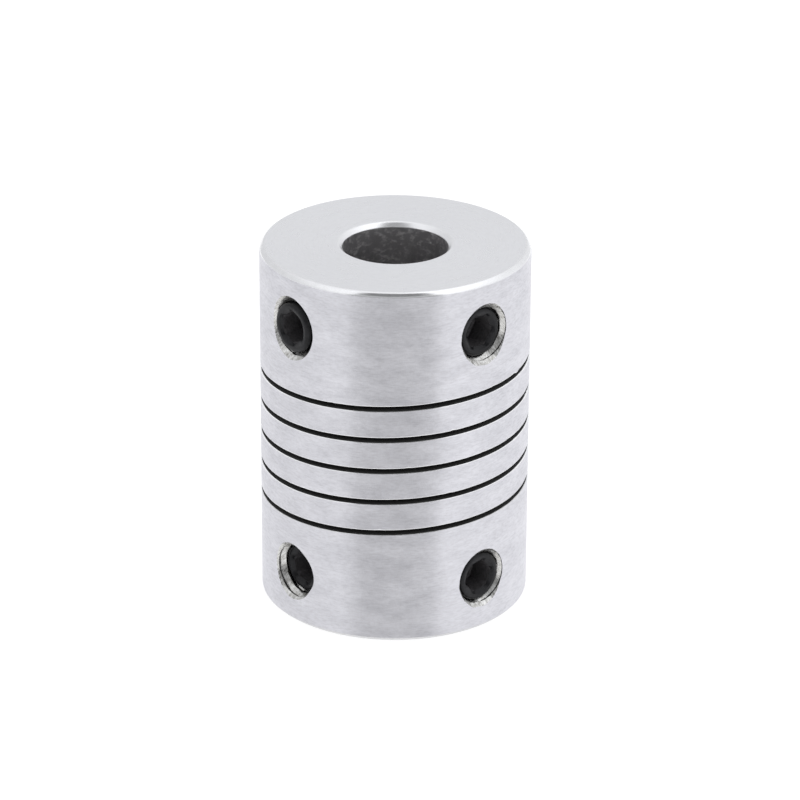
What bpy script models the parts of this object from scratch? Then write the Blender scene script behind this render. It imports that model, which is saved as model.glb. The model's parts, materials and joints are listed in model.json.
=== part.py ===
"""One-piece helical beam coupling, 18 mm across and 25 mm long, for two 7 mm shafts.

Blender 4.5, metres, +Z along the shaft axis. The origin is the centre of the lower end face.

The real body is one turned aluminium bar with a helical slot sawn through its wall, which
leaves a flexible beam of four turns between two solid hubs. Here the beam is parted by thin
kerfs into rigid links, so that joints between the links can stand for its bending, winding
up and stretching. Two M4 set screws, a quarter turn apart, clamp a shaft in each hub.
"""
import math

import bmesh
import bpy
from mathutils import Matrix, Vector

MM = 0.001

# Body
BODY_RADIUS = 9.0 * MM
BODY_LENGTH = 25.0 * MM
BORE_RADIUS = 3.5 * MM
CHAMFER = 0.28 * MM
BODY_SIDES = 48

# Helical slot: a right-handed helix whose middle turn crosses mid-length at SLOT_ANGLE,
# which lies half a facet off the body's corners, so that no cut runs along an edge
SLOT_WIDTH = 0.33 * MM
SLOT_PITCH = 2.22 * MM
SLOT_TURNS = 5
SLOT_ANGLE = math.radians(-41.25)

# Kerfs that part the beam into links
LINKS = 5
KERF_WIDTH = 0.2 * MM
STEP = 2.0 * math.pi / BODY_SIDES

# M4 x 4 cup point set screws: plain bodies and plain holes, just inside and outside of the
# thread's 3.55 mm pitch diameter, stand for the threads
SCREW_RADIUS = 1.75 * MM
SCREW_LENGTH = 4.0 * MM
SCREW_CHAMFER = 0.3 * MM
SCREW_SIDES = 24
SOCKET_ACROSS_FLATS = 2.0 * MM
SOCKET_DEPTH = 1.8 * MM
CUP_RADIUS = 1.2 * MM
CUP_DEPTH = 0.6 * MM
HOLE_RADIUS = 1.85 * MM
HOLE_TO_END = 3.7 * MM
FRONT = math.radians(-90.0)
RIGHT = 0.0
# name, direction of the hole, hub, depth of the screw's head below the surface
SET_SCREWS = (
    ("lower_set_screw_front", FRONT, "lower_hub", 0.9 * MM),
    ("lower_set_screw_right", RIGHT, "lower_hub", 0.3 * MM),
    ("upper_set_screw_front", FRONT, "upper_hub", 0.05 * MM),
    ("upper_set_screw_right", RIGHT, "upper_hub", 0.5 * MM),
)

# How far a cutter reaches past the surfaces that it cuts
OVERCUT = 0.7 * MM
MERGE = 1.0e-6


def slot_height(turn_angle):
    """Height of the slot's centreline, turn_angle radians past the middle of the helix."""
    return 0.5 * BODY_LENGTH + SLOT_PITCH * turn_angle / (2.0 * math.pi)


def beam_cuts():
    """Helix angle and beam height of each kerf, from the lower hub up to the upper hub."""
    half_slot = SLOT_TURNS * math.pi
    first = -half_slot + STEP
    last = half_slot - 2.0 * math.pi - STEP
    cuts = []
    for index in range(LINKS + 1):
        angle = first + (last - first) * index / LINKS
        cuts.append((angle, slot_height(angle) + 0.5 * SLOT_PITCH))
    return cuts


def clear_scene():
    for obj in list(bpy.data.objects):
        bpy.data.objects.remove(obj, do_unlink=True)


def new_collection(name):
    collection = bpy.data.collections.new(name)
    bpy.context.scene.collection.children.link(collection)
    return collection


def new_material(name, colour, roughness, metallic):
    material = bpy.data.materials.new(name)
    material.use_nodes = True
    shader = material.node_tree.nodes["Principled BSDF"]
    shader.inputs["Base Color"].default_value = (*colour, 1.0)
    shader.inputs["Roughness"].default_value = roughness
    shader.inputs["Metallic"].default_value = metallic
    return material


def new_object(name, bm, collection):
    mesh = bpy.data.meshes.new(name)
    bm.to_mesh(mesh)
    bm.free()
    obj = bpy.data.objects.new(name, mesh)
    collection.objects.link(obj)
    return obj


def new_cutter(name, bm, collection):
    obj = new_object(name, bm, collection)
    obj.hide_render = True
    obj.display_type = "WIRE"
    return obj


def turned(name, profile, sides, closed, collection):
    """Turn a profile of (radius, height) points about Z; it runs down its outer side."""
    bm = bmesh.new()
    verts = [bm.verts.new((radius, 0.0, height)) for radius, height in profile]
    for start, end in zip(verts, verts[1:]):
        bm.edges.new((start, end))
    if closed:
        bm.edges.new((verts[-1], verts[0]))
    obj = new_object(name, bm, collection)
    screw = obj.modifiers.new("Turn", "SCREW")
    screw.axis = "Z"
    screw.angle = 2.0 * math.pi
    screw.steps = sides
    screw.render_steps = sides
    screw.use_merge_vertices = True
    screw.merge_threshold = MERGE
    screw.use_smooth_shade = False
    return obj


def cut(obj, cutter):
    boolean = obj.modifiers.new("Cut " + cutter.name, "BOOLEAN")
    boolean.operation = "DIFFERENCE"
    boolean.solver = "EXACT"
    boolean.object = cutter


def body_blank(collection):
    """The turned bar: 18 mm outside, 7 mm bore, with chamfered rims."""
    outer = BODY_RADIUS
    bore = BORE_RADIUS
    top = BODY_LENGTH
    profile = (
        (outer - CHAMFER, top),
        (outer, top - CHAMFER),
        (outer, CHAMFER),
        (outer - CHAMFER, 0.0),
        (bore + CHAMFER, 0.0),
        (bore, CHAMFER),
        (bore, top - CHAMFER),
        (bore + CHAMFER, top),
    )
    return turned("body_blank", profile, BODY_SIDES, True, collection)


def slot_cutter(collection):
    """A flat section swept along the helix, from inside the bore to outside the body."""
    start = -SLOT_TURNS * math.pi
    inner = BORE_RADIUS - OVERCUT
    outer = BODY_RADIUS + OVERCUT
    height = slot_height(start)
    half = 0.5 * SLOT_WIDTH
    bm = bmesh.new()
    corners = ((inner, -half), (outer, -half), (outer, half), (inner, half))
    section = bm.faces.new([bm.verts.new((r, 0.0, height + z)) for r, z in corners])
    bmesh.ops.rotate(bm, verts=bm.verts, matrix=Matrix.Rotation(SLOT_ANGLE + start, 3, "Z"))
    bmesh.ops.spin(
        bm,
        geom=[section],
        axis=(0.0, 0.0, 1.0),
        dvec=(0.0, 0.0, SLOT_PITCH / BODY_SIDES),
        angle=SLOT_TURNS * 2.0 * math.pi,
        steps=SLOT_TURNS * BODY_SIDES,
    )
    bmesh.ops.recalc_face_normals(bm, faces=bm.faces)
    bmesh.ops.triangulate(bm, faces=bm.faces)
    return new_cutter("slot_cutter", bm, collection)


def kerf_cutter(index, angle, height, collection):
    """A thin upright plate across the beam, from the slot below it to the slot above it."""
    bm = bmesh.new()
    bmesh.ops.create_cube(bm, size=1.0)
    radial = BODY_RADIUS - BORE_RADIUS + 2.0 * OVERCUT
    bmesh.ops.scale(bm, vec=(radial, KERF_WIDTH, SLOT_PITCH), verts=bm.verts)
    cutter = new_cutter(f"kerf_cutter_{index}", bm, collection)
    middle = 0.5 * (BODY_RADIUS + BORE_RADIUS)
    turn = Matrix.Rotation(SLOT_ANGLE + angle, 4, "Z")
    cutter.matrix_world = turn @ Matrix.Translation((middle, 0.0, height))
    return cutter


def hole_height(hub):
    return HOLE_TO_END if hub == "lower_hub" else BODY_LENGTH - HOLE_TO_END


def outward_frame(direction, radius, height):
    """A frame at the given radius and height whose +Z points straight out of the body."""
    out = Vector((math.cos(direction), math.sin(direction), 0.0))
    return Matrix.Translation(out * radius + Vector((0.0, 0.0, height))) @ (
        Matrix.Rotation(direction, 4, "Z") @ Matrix.Rotation(0.5 * math.pi, 4, "Y"))


def hole_cutter(name, direction, hub, collection):
    """A round cutter for one tapped hole, from inside the bore to outside the body."""
    inner = BORE_RADIUS - 2.0 * OVERCUT
    outer = BODY_RADIUS + OVERCUT
    bm = bmesh.new()
    bmesh.ops.create_cone(
        bm, cap_ends=True, segments=SCREW_SIDES,
        radius1=HOLE_RADIUS, radius2=HOLE_RADIUS, depth=outer - inner)
    cutter = new_cutter("hole_for_" + name, bm, collection)
    cutter.matrix_world = outward_frame(direction, 0.5 * (inner + outer), hole_height(hub))
    return cutter


def separate_loose(obj):
    """Realise an object's modifiers and split it; the pieces come back from the lowest up."""
    evaluated = obj.evaluated_get(bpy.context.evaluated_depsgraph_get())
    mesh = bpy.data.meshes.new_from_object(evaluated)
    obj.modifiers.clear()
    obj.data = mesh
    bpy.ops.object.select_all(action="DESELECT")
    obj.select_set(True)
    bpy.context.view_layer.objects.active = obj
    bpy.ops.object.mode_set(mode="EDIT")
    bpy.ops.mesh.select_all(action="SELECT")
    bpy.ops.mesh.separate(type="LOOSE")
    bpy.ops.object.mode_set(mode="OBJECT")

    def mid_height(piece):
        heights = [vert.co.z for vert in piece.data.vertices]
        return 0.5 * (min(heights) + max(heights))

    return sorted(bpy.context.selected_objects, key=mid_height)


def place_at_pivot(piece, pivot, parent):
    """Put a piece's origin on its joint and hang it from the piece below it."""
    piece.data.transform(Matrix.Translation(-pivot))
    piece.parent = parent
    piece.location = pivot - parent.matrix_world.translation if parent else pivot
    bpy.context.view_layer.update()


def finish_piece(obj, material):
    obj.data.materials.clear()
    obj.data.materials.append(material)
    obj.data.shade_smooth()
    obj.data.set_sharp_from_angle(angle=math.radians(30.0))


def make_body(parts, cutters, aluminium):
    """Both hubs and the links of the beam, each hanging from the one below it."""
    blank = body_blank(parts)
    cut(blank, slot_cutter(cutters))
    for name, direction, hub, _ in SET_SCREWS:
        cut(blank, hole_cutter(name, direction, hub, cutters))
    for index, (angle, height) in enumerate(beam_cuts()):
        cut(blank, kerf_cutter(index, angle, height, cutters))
    loose = separate_loose(blank)
    names = ["lower_hub"] + [f"beam_segment_{n + 1}" for n in range(LINKS)] + ["upper_hub"]
    pivots = [Vector()] + [Vector((0.0, 0.0, height)) for _, height in beam_cuts()]
    pieces = {}
    parent = None
    for piece, name, pivot in zip(loose, names, pivots, strict=True):
        piece.name = name
        piece.data.name = name
        finish_piece(piece, aluminium)
        place_at_pivot(piece, pivot, parent)
        pieces[name] = piece
        parent = piece
    return pieces


def socket_cutter(collection):
    """The hexagon socket, in the screw's own frame with its head at the origin."""
    bm = bmesh.new()
    corner = 0.5 * SOCKET_ACROSS_FLATS / math.cos(math.pi / 6.0)
    bmesh.ops.create_cone(
        bm, cap_ends=True, segments=6,
        radius1=corner, radius2=corner, depth=SOCKET_DEPTH + OVERCUT)
    bmesh.ops.translate(bm, verts=bm.verts, vec=(0.0, 0.0, 0.5 * (OVERCUT - SOCKET_DEPTH)))
    return new_cutter("socket_cutter", bm, collection)


def screw_mesh(parts, cutters):
    """One set screw along Z: head at the origin, cup point below it."""
    tip = -SCREW_LENGTH
    profile = (
        (0.0, 0.0),
        (SCREW_RADIUS - SCREW_CHAMFER, 0.0),
        (SCREW_RADIUS, -SCREW_CHAMFER),
        (SCREW_RADIUS, tip + 2.0 * SCREW_CHAMFER),
        (CUP_RADIUS, tip),
        (0.0, tip + CUP_DEPTH),
    )
    blank = turned("screw_blank", profile, SCREW_SIDES, False, parts)
    cut(blank, socket_cutter(cutters))
    bpy.context.view_layer.update()
    evaluated = blank.evaluated_get(bpy.context.evaluated_depsgraph_get())
    mesh = bpy.data.meshes.new_from_object(evaluated)
    mesh.name = "set_screw"
    bpy.data.objects.remove(blank, do_unlink=True)
    return mesh


def make_set_screws(parts, cutters, pieces, steel):
    mesh = screw_mesh(parts, cutters)
    for name, direction, hub, recess in SET_SCREWS:
        screw = bpy.data.objects.new(name, mesh)
        parts.objects.link(screw)
        screw.parent = pieces[hub]
        place = outward_frame(direction, BODY_RADIUS - recess, hole_height(hub))
        screw.matrix_basis = pieces[hub].matrix_world.inverted() @ place
        finish_piece(screw, steel)


def main():
    clear_scene()
    parts = new_collection("beam_coupling")
    cutters = new_collection("cutters")
    aluminium = new_material("turned_aluminium", (0.80, 0.80, 0.82), 0.32, 1.0)
    steel = new_material("black_oxide_steel", (0.016, 0.015, 0.016), 0.42, 0.8)
    pieces = make_body(parts, cutters, aluminium)
    make_set_screws(parts, cutters, pieces, steel)


main()
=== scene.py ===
"""Looks of the helical beam coupling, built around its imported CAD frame.

Lengths are in metres, angles in radians. A place along the helical slot, or along the beam that
it leaves, is named by its helix angle: how far the helix has turned from the middle of the slot,
positive upwards. A hub is made of the last turn of the slot's wall and everything beyond it.
"""
import json
import math

import bmesh
import bpy
from mathutils import Matrix, Vector, noise

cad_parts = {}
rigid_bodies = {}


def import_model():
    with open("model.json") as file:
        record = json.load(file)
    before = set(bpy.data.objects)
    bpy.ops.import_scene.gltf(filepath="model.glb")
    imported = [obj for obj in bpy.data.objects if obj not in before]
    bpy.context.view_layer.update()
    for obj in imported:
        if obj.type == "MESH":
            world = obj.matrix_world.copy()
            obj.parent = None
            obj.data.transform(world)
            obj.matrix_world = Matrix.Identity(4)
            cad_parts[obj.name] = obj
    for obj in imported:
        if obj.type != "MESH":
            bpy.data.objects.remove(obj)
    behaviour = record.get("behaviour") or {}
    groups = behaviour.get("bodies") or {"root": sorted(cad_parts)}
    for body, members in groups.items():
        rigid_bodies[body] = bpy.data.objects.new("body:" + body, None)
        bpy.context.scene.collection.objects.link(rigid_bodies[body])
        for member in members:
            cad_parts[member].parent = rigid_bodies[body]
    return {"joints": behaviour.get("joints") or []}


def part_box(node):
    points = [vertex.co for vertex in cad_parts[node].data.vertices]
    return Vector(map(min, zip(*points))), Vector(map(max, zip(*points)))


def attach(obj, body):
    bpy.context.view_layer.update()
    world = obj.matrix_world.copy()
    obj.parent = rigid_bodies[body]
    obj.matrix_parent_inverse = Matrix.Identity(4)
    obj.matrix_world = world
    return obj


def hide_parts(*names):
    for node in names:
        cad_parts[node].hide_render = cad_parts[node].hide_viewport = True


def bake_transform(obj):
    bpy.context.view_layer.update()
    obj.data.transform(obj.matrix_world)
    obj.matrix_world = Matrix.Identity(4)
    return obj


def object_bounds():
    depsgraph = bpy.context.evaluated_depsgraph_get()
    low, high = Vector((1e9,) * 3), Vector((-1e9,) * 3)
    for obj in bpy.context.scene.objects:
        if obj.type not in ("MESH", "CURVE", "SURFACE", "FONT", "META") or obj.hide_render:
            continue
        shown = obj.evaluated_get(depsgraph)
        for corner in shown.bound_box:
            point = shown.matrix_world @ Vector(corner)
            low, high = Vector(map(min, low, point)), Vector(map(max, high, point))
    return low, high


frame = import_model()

CAD_LOW, CAD_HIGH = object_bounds()

MM = 0.001
TURN = 2.0 * math.pi

# The body, as in the CAD model
RADIUS = CAD_HIGH.x
TOP = CAD_HIGH.z
MIDDLE = 0.5 * TOP
BORE = 3.5 * MM
CHAMFER = 0.28 * MM
SLOT_WIDTH = 0.33 * MM
PITCH = 2.22 * MM
SLOT_END = 2.5 * TURN
SLOT_AZIMUTH = math.radians(-41.25)

# Fineness, and the bends above which an edge is shaded sharp
STEP = math.radians(1.5)
BODY_SHARP = math.radians(32.0)
SCREW_SHARP = math.radians(40.0)

# The rounds of a chamfer's corners: on the end face's side, the wall's and the bore's
FACE_ROUND = 0.10 * MM
WALL_ROUND = 0.12 * MM
BORE_ROUND = 0.05 * MM
ROUND_STEPS = 4

# The slot's broken edges. Their ripple and their nicks are drawn from noise, each with its own
# cells per radian, offset of the beam's two edges, and plane.
SLOT_EDGE = 0.06 * MM
SLOT_EDGE_RIPPLE = 0.35
SLOT_NICK = 0.18 * MM
NICK_THRESHOLD = 0.42
RIPPLE_NOISE = (9.0, 3.7, 0.5)
NICK_NOISE = (31.0, 5.1, 8.5)
EDGE_CREST = 0.3

# A burr hangs from the upper hub into the slot, at this helix angle
BURR_ANGLE = math.radians(783.75)
BURR_WIDTH = math.radians(2.0)
BURR_HANG = 0.13 * MM

# How much of the beam each hub carries, and how far to each side of its cut a joint's length of
# beam reaches
STUB = 5.0 * STEP
BEND_REACH = math.radians(75.0)

# A thread: its pitch, its flank's steepness, and how far inside the inner flat the flank starts
THREAD_PITCH = 0.7 * MM
FLANK_STEEPNESS = 1.3
FLANK_START = 0.15

# Tapped holes, and how far their cutters reach past the body's surfaces at least
HOLE_CREST = 1.73 * MM
HOLE_ROOT = 1.98 * MM
HOLE_COLUMNS = 120
HOLE_ROW = 0.07 * MM
MOUTH_ROWS = 7
PAST = 0.6 * MM
HOLE_MOUTHS = {
    "lower_front_screw_travel": 2.02 * MM,
    "lower_right_screw_travel": 2.08 * MM,
    "upper_front_screw_travel": 2.20 * MM,
    "upper_right_screw_travel": 2.13 * MM,
}

# The torn edge of a mouth: how deep it is, the share of that all round, how far its deepest spot
# leans from straight below, how quickly it fades from there, and how much of the edge it takes
MOUTH_TEAR = 0.10 * MM
TEAR_ALL_ROUND = 0.25
TEAR_LEAN = 0.3
TEAR_FADE = 1.5
TEAR_SPREAD = 0.1
TEARS_PER_RADIAN = 4.0

# Set screws
SCREW_CREST = 1.68 * MM
SCREW_ROOT = 1.51 * MM
SCREW_LENGTH = 4.0 * MM
SCREW_COLUMNS = 72

# Their head: its face, the rounded shoulder on which the thread runs out, and the socket
SCREW_FACE = 1.42 * MM
SCREW_SHOULDER = 0.30 * MM
SHOULDER_STEPS = 6
HEAD_THREAD = 0.12 * MM
SOCKET_ACROSS = 2.0 * MM
SOCKET_DEPTH = 1.8 * MM
SOCKET_MOUTH = 1.28 * MM
SOCKET_SINK = 0.20 * MM
DRILL_POINT = 0.35 * MM

# Their point: its length, the radius of its tip, and the cup in the tip
SCREW_POINT = 0.6 * MM
SCREW_TIP = 1.25 * MM
CUP_RIM = 0.12 * MM
CUP_DEPTH = 0.55 * MM

# The radius of the flat that closes a cone at the screw's axis
CENTRE = 0.08 * MM

# The turn at which the first socket stands, and how much further the next one is turned
FIRST_ROLL = math.radians(17.0)
NEXT_ROLL = math.radians(23.0)

# Which surface a face of the body belongs to
SKIN, FACED, RIM, BORED, SAWN, TAPPED, BORE_RIM = range(7)

# Which surface a face of a set screw belongs to, and how many rows its socket has
OXIDE, SOCKET = range(2)
SOCKET_ROWS = 2


# ---------------------------------------------------------------- helix

def helix_height(angle):
    return MIDDLE + PITCH * angle / TURN


def at(radius, angle, height):
    """The point at that distance from the axis, helix angle and height."""
    azimuth = SLOT_AZIMUTH + angle
    return Vector((radius * math.cos(azimuth), radius * math.sin(azimuth), height))


def slot_edge(angle, side):
    """How much is broken off the slot's edge there: uneven, with a nick here and there."""
    def draw(per_radian, per_side, plane):
        return noise.noise(Vector((angle * per_radian, side * per_side, plane)))

    nick = max(0.0, draw(*NICK_NOISE) - NICK_THRESHOLD)
    ripple = SLOT_EDGE_RIPPLE * draw(*RIPPLE_NOISE)
    return SLOT_EDGE * (1.0 + ripple) + SLOT_NICK * nick


def beam_section(angle, edge=slot_edge):
    """(radius, height) corners of the beam there, from its lower inner corner outwards.

    Each broken edge is two flats that meet at a crest, a share of the edge in from both faces.
    """
    low = helix_height(angle) + 0.5 * SLOT_WIDTH
    high = low + PITCH - SLOT_WIDTH
    lower = edge(angle, -1)
    upper = edge(angle, 1)
    return (
        (BORE, low),
        (RADIUS - lower, low),
        (RADIUS - EDGE_CREST * lower, low + EDGE_CREST * lower),
        (RADIUS, low + lower),
        (RADIUS, high - upper),
        (RADIUS - EDGE_CREST * upper, high - EDGE_CREST * upper),
        (RADIUS - upper, high),
        (BORE, high),
    )


# The beam's surfaces from each corner to the next, and how many corners its lower edge has
BEAM_SURFACES = (SAWN, RIM, RIM, SKIN, RIM, RIM, SAWN, BORED)
LOWER_CORNERS = 4


def steps_between(start, end):
    count = round((end - start) / STEP)
    return [start + (end - start) * index / count for index in range(count + 1)]


# ---------------------------------------------------------------- mesh tools

def add_face(bm, verts, surface):
    face = bm.faces.new(verts)
    face.material_index = surface
    return face


def loft(bm, loops, surface_of):
    """Join each loop of verts to the next one."""
    for row, (near, far) in enumerate(zip(loops, loops[1:])):
        count = len(near)
        for column in range(count):
            after = (column + 1) % count
            quad = (near[column], near[after], far[after], far[column])
            add_face(bm, quad, surface_of(row, column))


def finished_mesh(name, bm):
    bmesh.ops.recalc_face_normals(bm, faces=bm.faces)
    mesh = bpy.data.meshes.new(name)
    bm.to_mesh(mesh)
    bm.free()
    return mesh


def new_object(name, mesh):
    obj = bpy.data.objects.new(name, mesh)
    bpy.context.scene.collection.objects.link(obj)
    return obj


def shade_turned(mesh):
    """Smooth shading, with the true normals of the turned surfaces."""
    mesh.shade_smooth()
    mesh.set_sharp_from_angle(angle=BODY_SHARP)
    normals = [Vector(corner.vector) for corner in mesh.corner_normals]
    for polygon in mesh.polygons:
        if polygon.material_index not in (SKIN, BORED, FACED):
            continue
        for index in polygon.loop_indices:
            spot = mesh.vertices[mesh.loops[index].vertex_index].co
            if polygon.material_index == FACED:
                normals[index] = Vector((0.0, 0.0, 1.0 if spot.z > MIDDLE else -1.0))
            else:
                outward = 1.0 if polygon.material_index == SKIN else -1.0
                normals[index] = Vector((spot.x, spot.y, 0.0)).normalized() * outward
    mesh.normals_split_custom_set(normals)


# ---------------------------------------------------------------- beam

def beam_mesh(name, start, end):
    """A closed length of the beam between two helix angles."""
    bm = bmesh.new()
    loops = []
    for angle in steps_between(start, end):
        loops.append([bm.verts.new(at(r, angle, z)) for r, z in beam_section(angle)])
    loft(bm, loops, lambda row, column: BEAM_SURFACES[column])
    add_face(bm, loops[0], SAWN)
    add_face(bm, loops[-1], SAWN)
    mesh = finished_mesh(name, bm)
    shade_turned(mesh)
    return mesh


# ---------------------------------------------------------------- hubs

def rim_outline():
    """The hub's open outline beyond the slot, with softened corners: (point, surface after it)."""
    ring = helix_height(SLOT_END) + SLOT_WIDTH
    corners = (
        Vector((RADIUS, ring)),
        Vector((RADIUS, TOP - CHAMFER)),
        Vector((RADIUS - CHAMFER, TOP)),
        Vector((BORE + CHAMFER, TOP)),
        Vector((BORE, TOP - CHAMFER)),
        Vector((BORE, ring)),
    )
    # The size of each corner's round, the surfaces of its two halves, and the one after it
    rounds = (
        (WALL_ROUND, SKIN, RIM, RIM),
        (FACE_ROUND, RIM, RIM, FACED),
        (FACE_ROUND, BORE_RIM, BORE_RIM, BORE_RIM),
        (BORE_ROUND, BORE_RIM, BORE_RIM, BORED),
    )
    outline = [(corners[0], SKIN)]
    bends = zip(corners, corners[1:], corners[2:], rounds)
    for before, corner, after, (size, *surfaces) in bends:
        start = corner + (before - corner).normalized() * size
        end = corner + (after - corner).normalized() * size
        for step in range(ROUND_STEPS + 1):
            share = step / ROUND_STEPS
            point = start.lerp(corner, share).lerp(corner.lerp(end, share), share)
            outline.append((point, surfaces[2 * step // ROUND_STEPS]))
    outline.append((corners[-1], BORED))
    return outline


def hub_mesh(name, sense):
    """The upper hub (sense 1) or the lower one (sense -1), with the stub of beam that it carries.

    The coupling looks the same turned end for end, so both hubs are laid out as the upper one.
    """
    bm = bmesh.new()

    def vert(radius, angle, height):
        return bm.verts.new(at(radius, sense * angle, MIDDLE + sense * (height - MIDDLE)))

    def edge(angle, side):
        return slot_edge(sense * angle, sense * side)

    root = SLOT_END - TURN
    angles = steps_between(root, SLOT_END)
    outline = rim_outline()
    rims = [[vert(p.x, angle, p.y) for p, _ in outline] for angle in angles[:-1]]
    rims.append(rims[0])
    feet = []
    for angle in angles:
        corners = beam_section(angle, edge)[:LOWER_CORNERS]
        off_burr = abs(angle - BURR_ANGLE) / BURR_WIDTH
        hang = BURR_HANG * max(0.0, 1.0 - off_burr) if sense > 0 else 0.0
        feet.append([vert(corners[0][0], angle, corners[0][1])]
                    + [vert(r, angle, z - hang) for r, z in corners[1:]])
    beam = []
    for angle in steps_between(root - STUB, root)[:-1]:
        beam.append([vert(r, angle, z) for r, z in beam_section(angle, edge)])
    top = beam_section(root, edge)[LOWER_CORNERS:]
    beam.append(feet[0] + [vert(r, root, z) for r, z in top])

    loft(bm, beam, lambda row, column: BEAM_SURFACES[column])
    add_face(bm, beam[0], SAWN)
    for column, (rim, foot) in enumerate(zip(rims[:-1], feet)):
        next_rim, next_foot = rims[column + 1], feet[column + 1]
        for index in range(len(outline) - 1):
            quad = (rim[index], next_rim[index], next_rim[index + 1], rim[index + 1])
            add_face(bm, quad, outline[index][1])
        for index in range(LOWER_CORNERS - 1):
            quad = (foot[index], foot[index + 1], next_foot[index + 1], next_foot[index])
            add_face(bm, quad, BEAM_SURFACES[index])
        at_slot_end = column == 0
        outer = [feet[-1][-1], beam[-1][LOWER_CORNERS]] if at_slot_end else []
        inner = [feet[-1][0], beam[-1][-1]] if at_slot_end else []
        add_face(bm, [rim[0], *outer, foot[-1], next_foot[-1], next_rim[0]], SKIN)
        add_face(bm, [rim[-1], *inner, foot[0], next_foot[0], next_rim[-1]], BORED)
    add_face(bm, beam[-1][:LOWER_CORNERS - 1:-1] + feet[-1][::-1], SAWN)
    return finished_mesh(name, bm)


def thread_profile(turns):
    """Height of a thread after so many turns, from 0 at its inner flat to 1 at its outer one."""
    rise = 1.0 - abs(2.0 * (turns % 1.0) - 1.0)
    return min(1.0, max(0.0, FLANK_STEEPNESS * rise - FLANK_START))


def hole_rows():
    """Depths of the cutter's rows below the body's radius.

    They are twice as close where the mouth is, from one row outside the body.
    """
    mouth = [0.5 * HOLE_ROW * index for index in range(-2, 2 * MOUTH_ROWS)]
    count = math.ceil((RADIUS - BORE + PAST) / HOLE_ROW)
    return [-PAST] + mouth + [HOLE_ROW * (MOUTH_ROWS + index) for index in range(count)]


def hole_cutter(place, mouth, seed):
    """A cutter for one tapped hole that opens to the mouth's radius, torn low on its edge."""
    bm = bmesh.new()
    loops = []
    for depth in hole_rows():
        loop = []
        for column in range(HOLE_COLUMNS):
            turn = column / HOLE_COLUMNS
            across, up = math.cos(TURN * turn), math.sin(TURN * turn)
            along = RADIUS - depth
            low_side = TEAR_ALL_ROUND + max(0.0, -TEAR_LEAN * across - up) ** TEAR_FADE
            spot = Vector((across * TEARS_PER_RADIAN, up * TEARS_PER_RADIAN, seed))
            tear = MOUTH_TEAR * low_side * max(0.0, noise.noise(spot) + TEAR_SPREAD)
            flank = thread_profile(along / THREAD_PITCH - turn)
            thread = HOLE_CREST + (HOLE_ROOT - HOLE_CREST) * flank
            radius = max(thread, mouth + tear - depth)
            loop.append(bm.verts.new((radius * across, radius * up, along)))
        loops.append(loop)
    loft(bm, loops, lambda row, column: TAPPED)
    add_face(bm, loops[0], TAPPED)
    add_face(bm, loops[-1], TAPPED)
    mesh = finished_mesh("hole_cutter", bm)
    mesh.transform(place)
    return new_object("hole_cutter", mesh)


def cut_holes(mesh, holes):
    """The mesh with a tapped hole cut for each (place, radius of its mouth)."""
    blank = new_object("blank", mesh)
    cutters = [hole_cutter(place, mouth, seed) for seed, (place, mouth) in enumerate(holes)]
    for cutter in cutters:
        boolean = blank.modifiers.new("Hole", "BOOLEAN")
        boolean.operation = "DIFFERENCE"
        boolean.solver = "EXACT"
        boolean.material_mode = "INDEX"
        boolean.object = cutter
    evaluated = blank.evaluated_get(bpy.context.evaluated_depsgraph_get())
    cut = bpy.data.meshes.new_from_object(evaluated)
    for scrap in (blank, *cutters):
        bpy.data.objects.remove(scrap, do_unlink=True)
    return cut


# ---------------------------------------------------------------- set screws

def screw_direction(joint):
    return -Vector(joint["axis"])


def outward_frame(joint, origin):
    """A frame with +Z along the set screw, out of the body, and +Y up."""
    outward = screw_direction(joint)
    up = Vector((0.0, 0.0, 1.0))
    turn = Matrix((up.cross(outward), up, outward)).transposed()
    return Matrix.Translation(origin) @ turn.to_4x4()


def hole_place(joint):
    """The frame of the set screw's hole, from the coupling's axis."""
    low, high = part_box(joint["child"])
    return outward_frame(joint, Vector((0.0, 0.0, 0.5 * (low.z + high.z))))


def head_place(joint):
    """The frame of the set screw's head."""
    low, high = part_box(joint["child"])
    outward = screw_direction(joint)
    half_length = 0.5 * abs((high - low).dot(outward))
    return outward_frame(joint, 0.5 * (low + high) + outward * half_length)


def hexagon(turn):
    """Distance from its centre to the socket's wall in that direction."""
    sixth = 1.0 / 6.0
    off_flat = ((turn + 0.5 * sixth) % sixth - 0.5 * sixth) * TURN
    return 0.5 * SOCKET_ACROSS / math.cos(off_flat)


def screw_outline():
    """(radius as a function of turns and depth, depth) for each row, from the socket to the cup."""
    def circle(radius):
        return lambda turn, depth: radius

    def socket(turn, depth):
        return hexagon(turn)

    def thread(turn, depth):
        flank = thread_profile(-depth / THREAD_PITCH - turn + 0.5)
        return SCREW_ROOT + (SCREW_CREST - SCREW_ROOT) * flank

    def shoulder(limit):
        return lambda turn, depth: min(limit, thread(turn, depth) + HEAD_THREAD)

    rows = [
        (circle(CENTRE), SOCKET_DEPTH + DRILL_POINT),
        (socket, SOCKET_DEPTH),
        (socket, SOCKET_SINK),
        (circle(SOCKET_MOUTH), 0.0),
        (circle(SCREW_FACE), 0.0),
    ]
    for step in range(1, SHOULDER_STEPS + 1):
        swing = 0.25 * TURN * step / SHOULDER_STEPS
        limit = SCREW_FACE + (SCREW_CREST - SCREW_FACE) * math.sin(swing)
        rows.append((shoulder(limit), SCREW_SHOULDER * (1.0 - math.cos(swing))))
    thread_end = SCREW_LENGTH - SCREW_POINT
    count = round((thread_end - SCREW_SHOULDER) / HOLE_ROW)
    for index in range(1, count + 1):
        rows.append((thread, SCREW_SHOULDER + (thread_end - SCREW_SHOULDER) * index / count))
    rows.append((circle(SCREW_TIP), SCREW_LENGTH))
    rows.append((circle(SCREW_TIP - CUP_RIM), SCREW_LENGTH))
    rows.append((circle(CENTRE), SCREW_LENGTH - CUP_DEPTH))
    return rows


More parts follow.
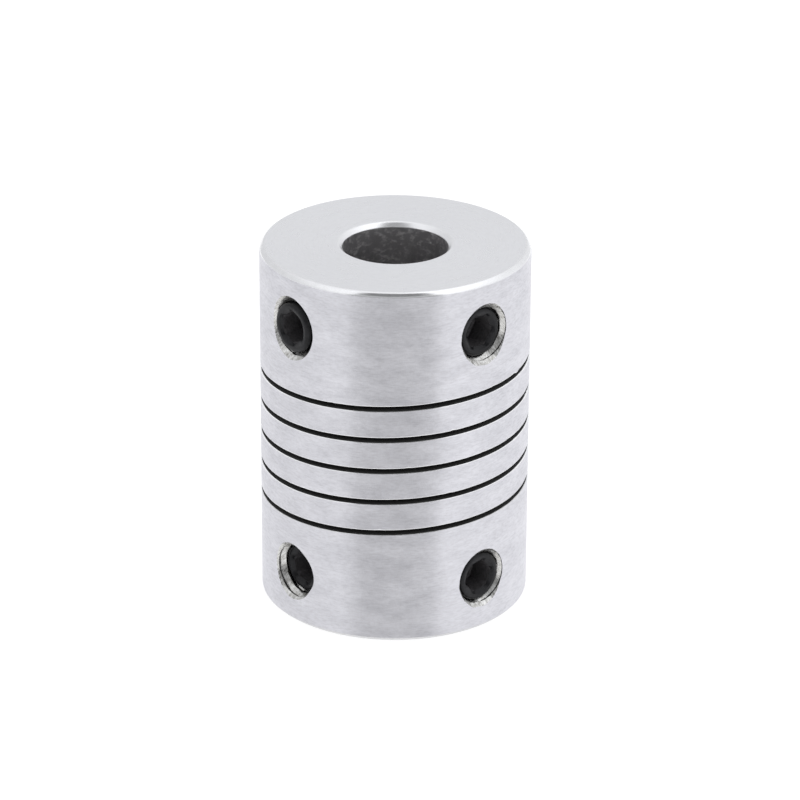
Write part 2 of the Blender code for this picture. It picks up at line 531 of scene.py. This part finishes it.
def screw_mesh(name):
    """A cup point set screw with its head at the origin and its point below."""
    bm = bmesh.new()
    loops = []
    for radius, depth in screw_outline():
        loop = []
        for column in range(SCREW_COLUMNS):
            turn = column / SCREW_COLUMNS
            reach = radius(turn, depth)
            spot = (reach * math.cos(TURN * turn), reach * math.sin(TURN * turn), -depth)
            loop.append(bm.verts.new(spot))
        loops.append(loop)
    loft(bm, loops, lambda row, column: SOCKET if row < SOCKET_ROWS else OXIDE)
    add_face(bm, loops[0], SOCKET)
    add_face(bm, loops[-1], OXIDE)
    mesh = finished_mesh(name, bm)
    mesh.shade_smooth()
    mesh.set_sharp_from_angle(angle=SCREW_SHARP)
    return mesh


# ---------------------------------------------------------------- materials

def add_node(tree, kind, inputs=None, **settings):
    """Add a node; an input is a value, or an output socket to link."""
    made = tree.nodes.new(kind)
    for key, value in settings.items():
        setattr(made, key, value)
    for key, value in (inputs or {}).items():
        if isinstance(value, bpy.types.NodeSocket):
            tree.links.new(value, made.inputs[key])
        else:
            made.inputs[key].default_value = value
    return made


def new_material(name, colour, roughness, metallic):
    material = bpy.data.materials.new(name)
    material.use_nodes = True
    shader = material.node_tree.nodes["Principled BSDF"]
    shader.inputs["Base Color"].default_value = (*colour, 1.0)
    shader.inputs["Roughness"].default_value = roughness
    shader.inputs["Metallic"].default_value = metallic
    return material, material.node_tree, shader


def lathe_coordinates(tree, along, across):
    """Coordinates that run slowly along the lathe's marks and fast across them."""
    place = add_node(tree, "ShaderNodeTexCoord").outputs["Object"]
    parts = add_node(tree, "ShaderNodeSeparateXYZ", {"Vector": place})
    flat = add_node(tree, "ShaderNodeCombineXYZ",
                    {"X": parts.outputs["X"], "Y": parts.outputs["Y"]})
    radius = add_node(tree, "ShaderNodeVectorMath", {0: flat.outputs[0]}, operation="LENGTH")
    lay = add_node(tree, "ShaderNodeMath", {0: parts.outputs["Z"], 1: radius.outputs["Value"]},
                   operation="ADD")
    whole = add_node(tree, "ShaderNodeCombineXYZ",
                     {"X": parts.outputs["X"], "Y": parts.outputs["Y"], "Z": lay.outputs[0]})
    scale = Vector((1.0 / along, 1.0 / along, 1.0 / across))
    return add_node(tree, "ShaderNodeVectorMath", {0: whole.outputs[0], 1: scale},
                    operation="MULTIPLY").outputs["Vector"]


def noise_value(tree, vector, detail=2.0, roughness=0.5):
    return add_node(tree, "ShaderNodeTexNoise",
                    {"Vector": vector, "Scale": 1.0, "Detail": detail,
                     "Roughness": roughness}).outputs["Fac"]


def ranged(tree, value, low, high, start=0.3, end=0.7):
    """The value, from start to end, stretched to run from low to high."""
    return add_node(tree, "ShaderNodeMapRange",
                    {"Value": value, "From Min": start, "From Max": end,
                     "To Min": low, "To Max": high}).outputs["Result"]


def blended(tree, share, first, second):
    """A colour between two others."""
    ramp = add_node(tree, "ShaderNodeValToRGB", {"Fac": share})
    ramp.color_ramp.elements[0].color = (*first, 1.0)
    ramp.color_ramp.elements[1].color = (*second, 1.0)
    return ramp.outputs["Color"]


def graded(tree, value, stops):
    """A value that runs from stop to stop: each a place on the other value and its height."""
    ramp = add_node(tree, "ShaderNodeValToRGB", {"Fac": value})
    elements = ramp.color_ramp.elements
    while len(elements) < len(stops):
        elements.new(1.0)
    for element, (place, height) in zip(elements, stops):
        element.position = place
        element.color = (height, height, height, 1.0)
    return ramp.outputs["Color"]


def bump(tree, height, distance):
    return add_node(tree, "ShaderNodeBump",
                    {"Height": height, "Distance": distance, "Strength": 1.0}).outputs["Normal"]


def around_axis(tree):
    """The direction round the coupling's axis, which the lathe's marks follow."""
    place = add_node(tree, "ShaderNodeTexCoord").outputs["Object"]
    crossed = add_node(tree, "ShaderNodeVectorMath", {0: (0.0, 0.0, 1.0), 1: place},
                       operation="CROSS_PRODUCT")
    return add_node(tree, "ShaderNodeVectorMath", {0: crossed.outputs[0]},
                    operation="NORMALIZE").outputs["Vector"]


def turned_metal(name, colour, shade, roughness, spread, anisotropy, mark_depth, mark, run):
    """Aluminium with lathe marks, each about mark wide and run long.

    Its darkest spots have the colour times shade, and its roughness varies by spread.
    """
    material, tree, shader = new_material(name, colour, roughness, 1.0)
    marks = noise_value(tree, lathe_coordinates(tree, run, mark), 3.0, 0.6)
    flecks = noise_value(tree, lathe_coordinates(tree, 0.45 * MM, 0.14 * MM), 2.0, 0.7)
    patches = noise_value(tree, lathe_coordinates(tree, 2.2 * MM, 0.9 * MM), 2.0)
    darker = tuple(shade * channel for channel in colour)
    toned = add_node(tree, "ShaderNodeMath", {0: marks, 1: flecks}, operation="ADD").outputs[0]
    tree.links.new(blended(tree, ranged(tree, toned, 0.0, 1.0, 0.7, 1.15), darker, colour),
                   shader.inputs["Base Color"])
    mixed = add_node(tree, "ShaderNodeMath", {0: marks, 1: patches}, operation="ADD").outputs[0]
    tree.links.new(ranged(tree, mixed, roughness - spread, roughness + spread, 0.75, 1.25),
                   shader.inputs["Roughness"])
    tree.links.new(bump(tree, marks, mark_depth), shader.inputs["Normal"])
    shader.inputs["Anisotropic"].default_value = anisotropy
    shader.inputs["Anisotropic Rotation"].default_value = 0.25
    tree.links.new(around_axis(tree), shader.inputs["Tangent"])
    return material


def bored_metal(name):
    """The reamed bore: darker, as painted shade inside the bore, with loose specks."""
    material, tree, shader = new_material(name, (0.42, 0.42, 0.43), 0.45, 1.0)
    specks = noise_value(tree, lathe_coordinates(tree, 0.45 * MM, 0.3 * MM), 3.0, 0.65)
    tree.links.new(blended(tree, ranged(tree, specks, 0.0, 1.0, 0.5, 0.8),
                           (0.47, 0.46, 0.47), (0.95, 0.93, 0.92)), shader.inputs["Base Color"])
    tree.links.new(ranged(tree, specks, 0.4, 0.55), shader.inputs["Roughness"])
    tree.links.new(bump(tree, specks, 0.004 * MM), shader.inputs["Normal"])
    return material


def slot_shade_metal(name):
    """The slot's walls: painted near-black as shade deep in the narrow slot, and rough from the
    saw.
    """
    material, tree, shader = new_material(name, (0.02, 0.02, 0.02), 0.85, 0.0)
    grain = noise_value(tree, lathe_coordinates(tree, 0.3 * MM, 0.08 * MM), 3.0)
    tree.links.new(blended(tree, grain, (0.012, 0.012, 0.012), (0.06, 0.058, 0.056)),
                   shader.inputs["Base Color"])
    tree.links.new(bump(tree, grain, 0.01 * MM), shader.inputs["Normal"])
    return material


def tapped_metal(name):
    """The walls of the tapped holes: bright and scored."""
    material, tree, shader = new_material(name, (0.78, 0.78, 0.79), 0.22, 1.0)
    score = noise_value(tree, lathe_coordinates(tree, 0.25 * MM, 0.1 * MM), 3.0, 0.6)
    chips = noise_value(tree, lathe_coordinates(tree, 0.13 * MM, 0.13 * MM), 2.0, 0.5)
    clean = ranged(tree, chips, 0.2, 1.0, 0.27, 0.35)
    toned = add_node(tree, "ShaderNodeMath", {0: ranged(tree, score, 0.0, 1.0), 1: clean},
                     operation="MULTIPLY").outputs[0]
    tree.links.new(blended(tree, toned, (0.30, 0.29, 0.27), (0.86, 0.86, 0.85)),
                   shader.inputs["Base Color"])
    tree.links.new(ranged(tree, score, 0.16, 0.36), shader.inputs["Roughness"])
    tree.links.new(bump(tree, score, 0.008 * MM), shader.inputs["Normal"])
    return material


def black_oxide(name):
    """Blackened steel with fine rings from turning and a satin, faintly grainy skin."""
    material, tree, shader = new_material(name, (0.012, 0.012, 0.013), 0.38, 0.0)
    shader.inputs["Specular IOR Level"].default_value = 0.2
    rings = noise_value(tree, lathe_coordinates(tree, 1.2 * MM, 0.11 * MM), 2.0)
    grain = noise_value(tree, lathe_coordinates(tree, 0.12 * MM, 0.12 * MM), 4.0, 0.6)
    both = add_node(tree, "ShaderNodeMath", {0: rings, 1: grain}, operation="ADD").outputs[0]
    tree.links.new(blended(tree, ranged(tree, both, 0.0, 1.0, 0.75, 1.3), (0.006, 0.006, 0.007),
                           (0.024, 0.024, 0.027)), shader.inputs["Base Color"])
    tree.links.new(ranged(tree, both, 0.28, 0.5, 0.8, 1.2), shader.inputs["Roughness"])
    tree.links.new(bump(tree, both, 0.006 * MM), shader.inputs["Normal"])
    return material


def broached_steel(name):
    """The walls of the hexagon socket: blackened, with faint broaching marks."""
    material, tree, shader = new_material(name, (0.05, 0.05, 0.05), 0.5, 0.3)
    marks = noise_value(tree, lathe_coordinates(tree, 0.2 * MM, 0.15 * MM), 3.0, 0.6)
    tree.links.new(blended(tree, ranged(tree, marks, 0.0, 1.0), (0.05, 0.048, 0.05),
                           (0.11, 0.105, 0.11)), shader.inputs["Base Color"])
    tree.links.new(bump(tree, marks, 0.006 * MM), shader.inputs["Normal"])
    return material


# ---------------------------------------------------------------- the coupling

def make_body(joints, surfaces, rim_painted_shade):
    """Both hubs, five rigid lengths of beam, and a length of beam at each joint."""
    flex = [joint for joint in joints if not joint["name"].endswith("screw_travel")]
    first = -SLOT_END + STUB
    last = SLOT_END - TURN - STUB
    cuts = [first + (last - first) * index / (len(flex) - 1) for index in range(len(flex))]

    def add(name, mesh, rim=surfaces[RIM]):
        for index, surface in enumerate(surfaces):
            mesh.materials.append(rim if index == RIM else surface)
        obj = new_object(name, mesh)
        return obj

    for body, sense in (("lower_hub", -1), ("upper_hub", 1)):
        holes = [(hole_place(joint), HOLE_MOUTHS[joint["name"]]) for joint in joints
                 if joint["parent"] == body and joint["name"] in HOLE_MOUTHS]
        mesh = cut_holes(hub_mesh(body + "_skin", sense), holes)
        shade_turned(mesh)
        # The lower hub's rim and slot edges take the darker copy of the rim: painted shade near the
        # floor
        hub = add(body + "_turned", mesh, surfaces[RIM] if sense > 0 else rim_painted_shade)
        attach(hub, body)
        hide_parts(body)

    for index, joint in enumerate(flex):
        cut = cuts[index]
        start = cut if index == 0 else cut - BEND_REACH
        end = cut if index == len(flex) - 1 else cut + BEND_REACH
        bend = add(joint["name"] + "_flexure", beam_mesh(joint["name"], start, end))
        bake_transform(bend)
        if index:
            body = joint["parent"]
            arc = add(body + "_beam", beam_mesh(body, cuts[index - 1] + BEND_REACH, start))
            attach(arc, body)
            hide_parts(body)


def make_set_screws(joints, surfaces):
    slides = [joint for joint in joints if joint["name"].endswith("screw_travel")]
    for index, joint in enumerate(slides):
        body = joint["child"]
        mesh = screw_mesh(body)
        for surface in surfaces:
            mesh.materials.append(surface)
        screw = new_object(body + "_threaded", mesh)
        roll = Matrix.Rotation(FIRST_ROLL + NEXT_ROLL * index, 4, "Z")
        screw.matrix_world = head_place(joint) @ roll
        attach(screw, body)
        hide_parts(body)


# ---------------------------------------------------------------- studio

CAMERA_AZIMUTH = math.radians(-40.9)
CAMERA_ELEVATION = math.radians(24.085)
CAMERA_DISTANCE = 282.6 * MM
CAMERA_LENS = 189.2
CAMERA_ROLL = math.radians(0.22)
CAMERA_SHIFT = (0.0066, 0.0190)

FLOOR_HALF = 4.0
FLOOR_COLOUR = (0.34, 0.34, 0.343)
FLOOR_GLOW = 0.82

TENT_COLOUR = (0.97, 0.98, 1.0)

# The tent's walls: their light low down and high up, and the heights between which it rises.
# A height here is that of a unit vector's tip.
WALL_LIGHT = (0.935, 1.2)
WALL_RISE = (0.45, 0.95)

# The walls are a little brighter towards the key, which stands this far round from the camera
KEY_TURN = math.radians(40.0)
KEY_MEAN = 1.03
KEY_LEAN = 0.18

# The opening: how directly a direction faces the camera's side at its soft edges, how fast it
# widens with height, and its (height, light) from the floor upwards
OPENING_EDGE = (0.80, 0.90)
OPENING_WIDENING = 0.2
OPENING_LIGHT = (
    (0.0, 0.30), (0.35, 0.30), (0.6, 0.55), (0.82, 0.55), (0.88, 0.22), (0.96, 0.22), (1.0, 0.9),
)


def make_camera():
    data = bpy.data.cameras.new("camera")
    data.lens = CAMERA_LENS
    data.sensor_width = 36.0
    data.clip_start = 0.01
    data.shift_x, data.shift_y = CAMERA_SHIFT
    camera = bpy.data.objects.new("camera", data)
    bpy.context.scene.collection.objects.link(camera)
    flat = math.cos(CAMERA_ELEVATION)
    towards = Vector((math.cos(CAMERA_AZIMUTH) * flat, math.sin(CAMERA_AZIMUTH) * flat,
                      math.sin(CAMERA_ELEVATION)))
    centre = 0.5 * (CAD_LOW + CAD_HIGH)
    aim = towards.to_track_quat("Z", "Y").to_matrix().to_4x4()
    camera.matrix_world = (Matrix.Translation(centre + towards * CAMERA_DISTANCE)
                           @ aim @ Matrix.Rotation(CAMERA_ROLL, 4, "Z"))
    bpy.context.scene.camera = camera


def make_floor():
    bm = bmesh.new()
    bmesh.ops.create_grid(bm, x_segments=1, y_segments=1, size=FLOOR_HALF)
    mesh = bpy.data.meshes.new("floor")
    bm.to_mesh(mesh)
    bm.free()
    floor = new_object("floor", mesh)
    material, _, shader = new_material("floor", FLOOR_COLOUR, 0.9, 0.0)
    shader.inputs["Specular IOR Level"].default_value = 0.0
    shader.inputs["Emission Color"].default_value = (1.0, 1.0, 1.0, 1.0)
    shader.inputs["Emission Strength"].default_value = FLOOR_GLOW
    mesh.materials.append(material)


def make_light():
    """A soft white tent, open and darker on the camera's side."""
    world = bpy.data.worlds.new("studio")
    bpy.context.scene.world = world
    world.use_nodes = True
    tree = world.node_tree
    tree.nodes.clear()
    way = add_node(tree, "ShaderNodeTexCoord").outputs["Generated"]
    parts = add_node(tree, "ShaderNodeSeparateXYZ", {"Vector": way})
    level = add_node(tree, "ShaderNodeVectorMath", {0: way, 1: Vector((1.0, 1.0, 0.0))},
                     operation="MULTIPLY")
    level = add_node(tree, "ShaderNodeVectorMath", {0: level.outputs[0]}, operation="NORMALIZE")
    height = parts.outputs["Z"]

    def towards(azimuth):
        """How directly a direction faces that azimuth: 1 straight at it, -1 straight away."""
        aim = Vector((math.cos(azimuth), math.sin(azimuth), 0.0))
        return add_node(tree, "ShaderNodeVectorMath", {0: level.outputs[0], 1: aim},
                        operation="DOT_PRODUCT").outputs["Value"]

    widened = add_node(tree, "ShaderNodeMath",
                       {0: height, 1: OPENING_WIDENING, 2: towards(CAMERA_AZIMUTH)},
                       operation="MULTIPLY_ADD").outputs[0]
    opening = add_node(tree, "ShaderNodeMapRange",
                       {"Value": widened,
                        "From Min": OPENING_EDGE[0], "From Max": OPENING_EDGE[1]},
                       interpolation_type="SMOOTHSTEP")
    walls = add_node(tree, "ShaderNodeMapRange",
                     {"Value": height, "From Min": WALL_RISE[0], "From Max": WALL_RISE[1],
                      "To Min": WALL_LIGHT[0], "To Max": WALL_LIGHT[1]},
                     interpolation_type="SMOOTHSTEP")
    lean = add_node(tree, "ShaderNodeMath",
                    {0: towards(CAMERA_AZIMUTH + KEY_TURN), 1: KEY_LEAN, 2: KEY_MEAN},
                    operation="MULTIPLY_ADD").outputs[0]
    leaning = add_node(tree, "ShaderNodeMath", {0: walls.outputs[0], 1: lean},
                       operation="MULTIPLY")
    strength = add_node(tree, "ShaderNodeMix",
                        {"Factor": opening.outputs[0], "A": leaning.outputs[0],
                         "B": graded(tree, height, OPENING_LIGHT)})
    light = add_node(tree, "ShaderNodeBackground",
                     {"Color": (*TENT_COLOUR, 1.0), "Strength": strength.outputs[0]})
    add_node(tree, "ShaderNodeOutputWorld", {"Surface": light.outputs[0]})


def main():
    bpy.context.scene.view_settings.view_transform = "Standard"
    joints = frame["joints"]
    surfaces = (
        turned_metal("turned_skin", (0.90, 0.895, 0.937), shade=0.83, roughness=0.48, spread=0.05,
                     anisotropy=1.0, mark_depth=0.004 * MM, mark=0.07 * MM, run=0.6 * MM),
        turned_metal("faced_end", (0.85, 0.85, 0.866), shade=0.95, roughness=0.30, spread=0.04,
                     anisotropy=0.4, mark_depth=0.002 * MM, mark=0.06 * MM, run=0.9 * MM),
        turned_metal("chamfered_rim", (0.86, 0.86, 0.87), shade=0.95, roughness=0.18, spread=0.03,
                     anisotropy=0.2, mark_depth=0.001 * MM, mark=0.05 * MM, run=0.6 * MM),
        bored_metal("reamed_bore"),
        slot_shade_metal("slot_painted_shade"),
        tapped_metal("tapped_hole"),
        turned_metal("bore_rim", (0.86, 0.86, 0.87), shade=0.95, roughness=0.30, spread=0.04,
                     anisotropy=0.2, mark_depth=0.001 * MM, mark=0.05 * MM, run=0.6 * MM),
    )
    # A darker copy of the chamfered rim for the lower hub: painted shade where the floor near its
    # base lies in shadow
    rim_painted_shade = turned_metal("rim_painted_shade", (0.70, 0.70, 0.71), shade=0.9, roughness=0.3, spread=0.05,
                            anisotropy=0.2, mark_depth=0.002 * MM, mark=0.05 * MM, run=0.6 * MM)
    make_body(joints, surfaces, rim_painted_shade)
    make_set_screws(joints, (black_oxide("black_oxide"), broached_steel("broached_socket")))
    make_floor()
    make_light()
    make_camera()


main()
